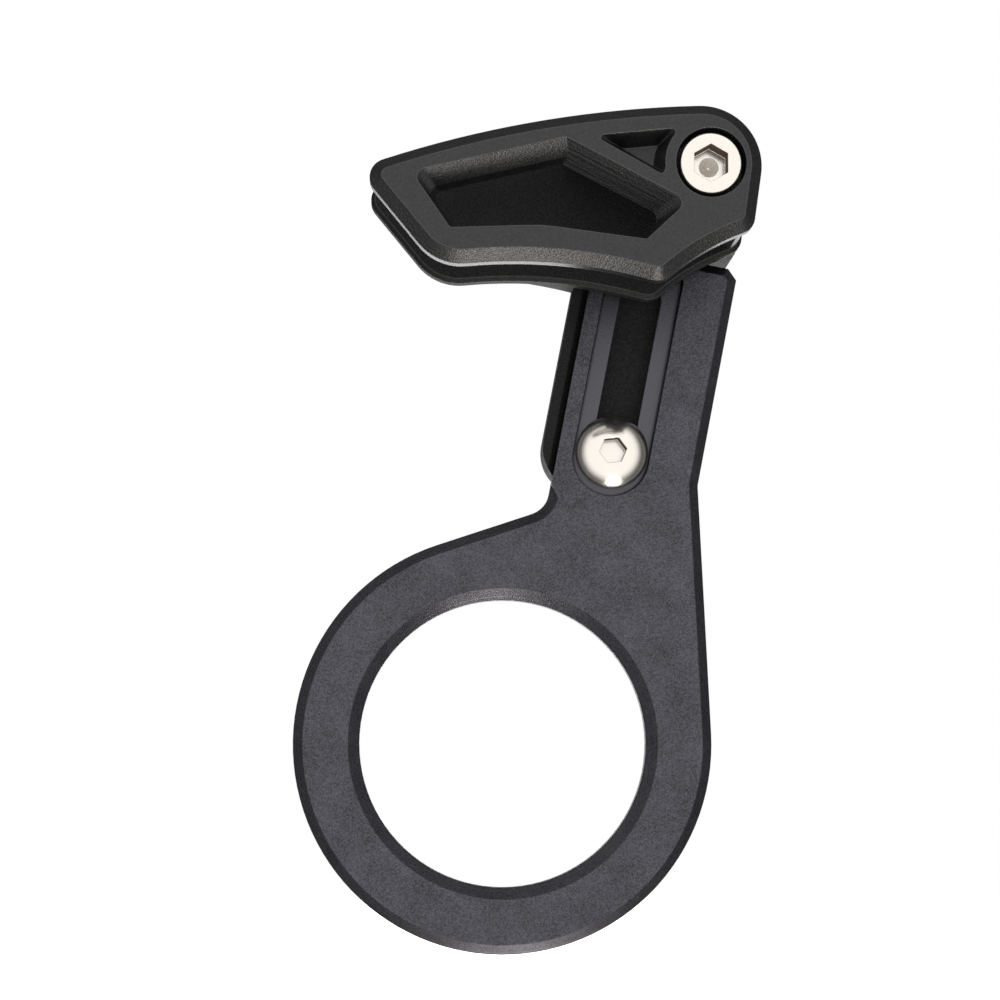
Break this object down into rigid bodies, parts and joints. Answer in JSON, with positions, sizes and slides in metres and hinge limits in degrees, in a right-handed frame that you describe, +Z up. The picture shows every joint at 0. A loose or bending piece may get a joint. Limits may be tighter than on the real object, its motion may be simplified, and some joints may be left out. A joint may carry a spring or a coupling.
{
  "type": "bicycle chain guide",
  "caption": "Chain guide for a bicycle: a plate clamped behind the bottom-bracket cup carries a cage of two plates that slides along a slotted arm to suit the chainring.",
  "frame": {"origin": "centre of the bottom-bracket bore, on the rear seat face", "axes": "+X forward along the bicycle, +Z up, -Y towards the chainring side, out of the seat face"},
  "size_m": [0.056, 0.0242, 0.1014],
  "materials": {
    "anodised_aluminium": "bead-blasted and black anodised",
    "glass_filled_nylon": "moulded, fine spark texture",
    "stainless_steel": "polished",
    "brass": "turned"
  },
  "bodies": {
    "plate": {"backplate": "anodised_aluminium"},
    "cage": {"inner_cage": "glass_filled_nylon", "outer_cage_plate": "glass_filled_nylon", "clamp_bolt": "stainless_steel", "clamp_nut": "stainless_steel", "cage_bolt": "stainless_steel", "cage_insert": "brass"}
  },
  "joints": [
    {"name": "cage_slide", "type": "slide", "parent": "plate", "child": "cage", "axis": [0.1908, 0, 0.9816], "range_m": [-0.00075, 0.0197]}
  ]
}
